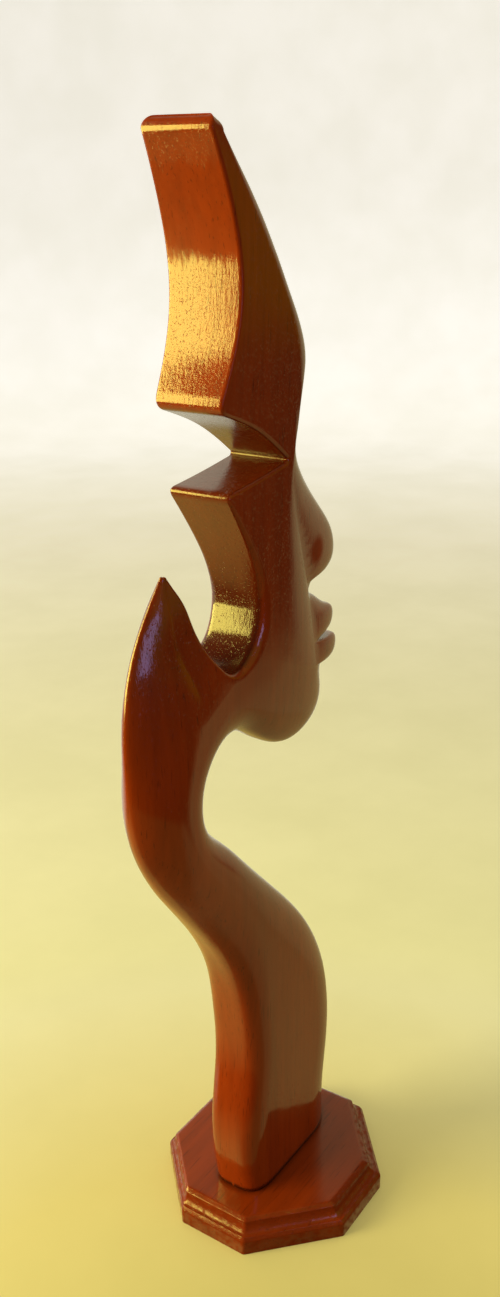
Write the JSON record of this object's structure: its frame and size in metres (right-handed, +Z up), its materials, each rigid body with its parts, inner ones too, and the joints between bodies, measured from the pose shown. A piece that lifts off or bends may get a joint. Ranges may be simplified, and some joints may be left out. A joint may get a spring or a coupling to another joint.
{
  "type": "wooden figurine",
  "caption": "Tall dark wooden figurine: an abstract head in profile on a long curved neck, carved from flat plank, standing on an octagonal moulded base.",
  "frame": {"origin": "the point of the base's flat underside from which its eight sides are measured, under the middle of the plank's thickness and close to the middle of the base", "axes": "+Z up, +X the way the face looks, Y across the plank's thickness"},
  "size_m": [0.1887, 0.1187, 0.5713],
  "materials": {
    "figure_wood": "dark reddish-brown stain under a glossy brushed varnish, with fine upright grain",
    "base_wood": "dark brown stain under a glossy brushed varnish, with grain along X"
  },
  "bodies": {
    "root": {"carved_figure": "figure_wood", "octagonal_base": "base_wood"}
  },
  "joints": []
}
